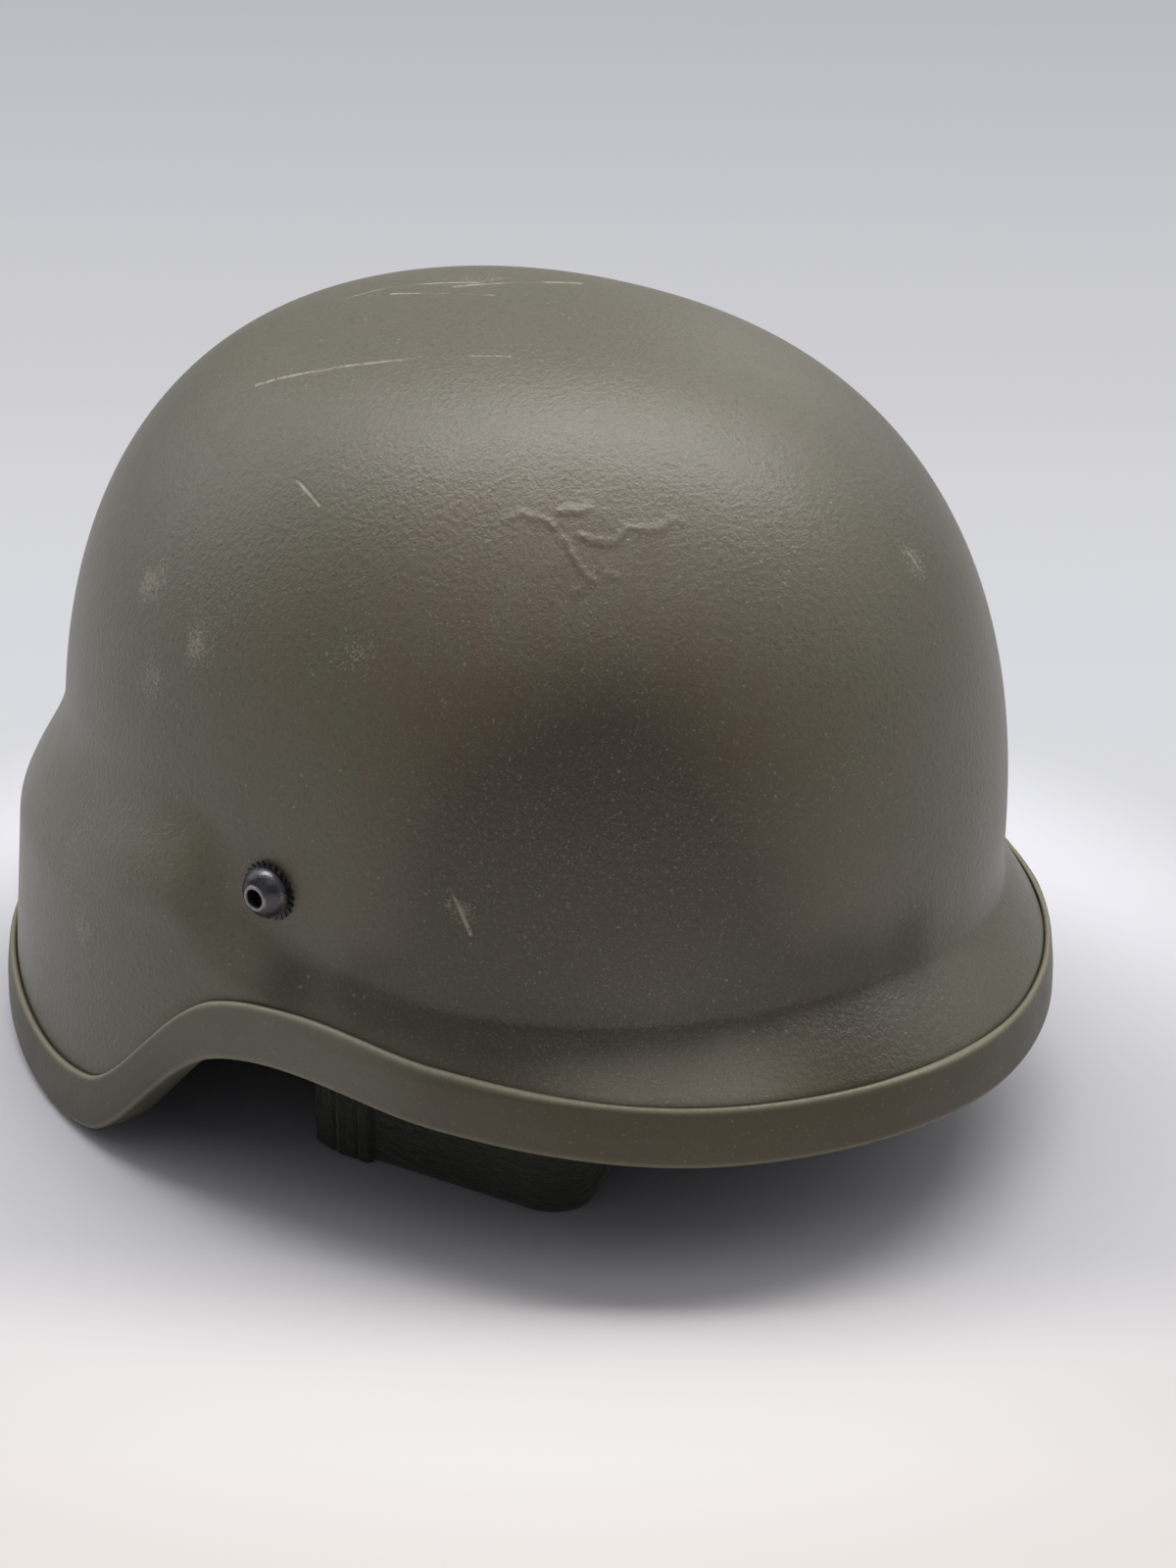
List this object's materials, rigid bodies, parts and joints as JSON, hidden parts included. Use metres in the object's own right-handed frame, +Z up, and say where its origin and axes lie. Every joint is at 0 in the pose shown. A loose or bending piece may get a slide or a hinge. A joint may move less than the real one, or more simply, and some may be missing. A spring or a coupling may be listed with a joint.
{
  "type": "combat helmet",
  "caption": "Olive composite combat helmet with a short visor, flared ear bulges, a rubber edge trim, domed side fasteners, a padded liner and a chin strap with a side-release buckle",
  "frame": {"origin": "centre of the bounding box's bottom, on the floor the helmet stands on", "axes": "+X is the wearer's left, -Y is the front with the visor, +Z is up towards the crown"},
  "size_m": [0.255, 0.3026, 0.1951],
  "materials": {
    "shell_paint": "matt olive paint with a fine orange-peel grain, scuffed and scratched",
    "edge_rubber": "olive rubber, slightly smoother than the shell, nicked here and there",
    "dark_steel": "dark phosphated steel with a soft sheen",
    "plain_steel": "plain pressed steel, satin",
    "black_rubber": "black rubber, matt",
    "black_plastic": "moulded black plastic, fine texture",
    "webbing": "woven olive webbing with a ribbed weave",
    "band_leather": "dark suede-faced band with a fine cross grain",
    "pad_cloth": "knitted cloth over foam"
  },
  "bodies": {
    "helmet": {"shell": "shell_paint", "edge_trim": "edge_rubber", "sleeve_nut_right": "dark_steel", "sleeve_nut_left": "dark_steel", "sleeve_nut_rear": "dark_steel", "lock_washer_right": "dark_steel", "lock_washer_left": "dark_steel", "lock_washer_rear": "dark_steel", "spacer_bush_right": "black_rubber", "spacer_bush_left": "black_rubber", "spacer_bush_rear": "black_rubber", "liner_screw_right": "plain_steel", "liner_screw_left": "plain_steel", "liner_screw_rear": "plain_steel", "liner_ring": "black_plastic", "hanger_bracket_right": "plain_steel", "hanger_bracket_left": "plain_steel", "temple_plate_right": "black_plastic", "temple_plate_left": "black_plastic", "hinge_rivet_right": "plain_steel", "hinge_rivet_left": "plain_steel", "crown_strap_1": "webbing", "crown_strap_2": "webbing", "crown_strap_3": "webbing", "crown_strap_4": "webbing", "crown_strap_5": "webbing", "crown_strap_6": "webbing", "crown_disc": "band_leather", "crown_pad": "pad_cloth", "front_headband": "band_leather", "headband_tab_right": "band_leather", "headband_tab_left": "band_leather", "band_stud_right": "plain_steel", "band_stud_left": "plain_steel", "front_hanger_right": "webbing", "front_hanger_left": "webbing", "hanger_stud_right": "plain_steel", "hanger_stud_left": "plain_steel"},
    "rear_band": {"rear_headband": "band_leather", "nape_pad": "pad_cloth", "size_strap_right": "webbing", "size_strap_left": "webbing", "rear_hanger_right": "black_plastic", "rear_hanger_left": "black_plastic"},
    "chin_strap": {"strap_tab_right": "black_plastic", "strap_tab_left": "black_plastic", "chin_webbing_right": "webbing", "chin_webbing_left": "webbing", "chin_cup": "black_plastic", "chin_pad": "pad_cloth", "buckle_socket": "black_plastic"},
    "plug": {"buckle_plug": "black_plastic", "plug_webbing": "webbing"},
    "keeper": {"strap_keeper": "black_plastic"}
  },
  "joints": [
    {"name": "rear_band_slide", "type": "slide", "parent": "helmet", "child": "rear_band", "axis": [0, -1, 0], "range_m": [0, 0.015]},
    {"name": "chin_strap_swing", "type": "hinge", "parent": "helmet", "child": "chin_strap", "pos_m": [0, -0.03464, 0.05963], "axis": [-1, 0, 0], "range_deg": [0, 90]},
    {"name": "keeper_slide", "type": "slide", "parent": "chin_strap", "child": "keeper", "axis": [0, 0.9533, -0.3021], "range_m": [0, 0.01]},
    {"name": "buckle_release", "type": "slide", "parent": "chin_strap", "child": "plug", "axis": [0, 0.9533, -0.3021], "range_m": [0, 0.011]}
  ]
}
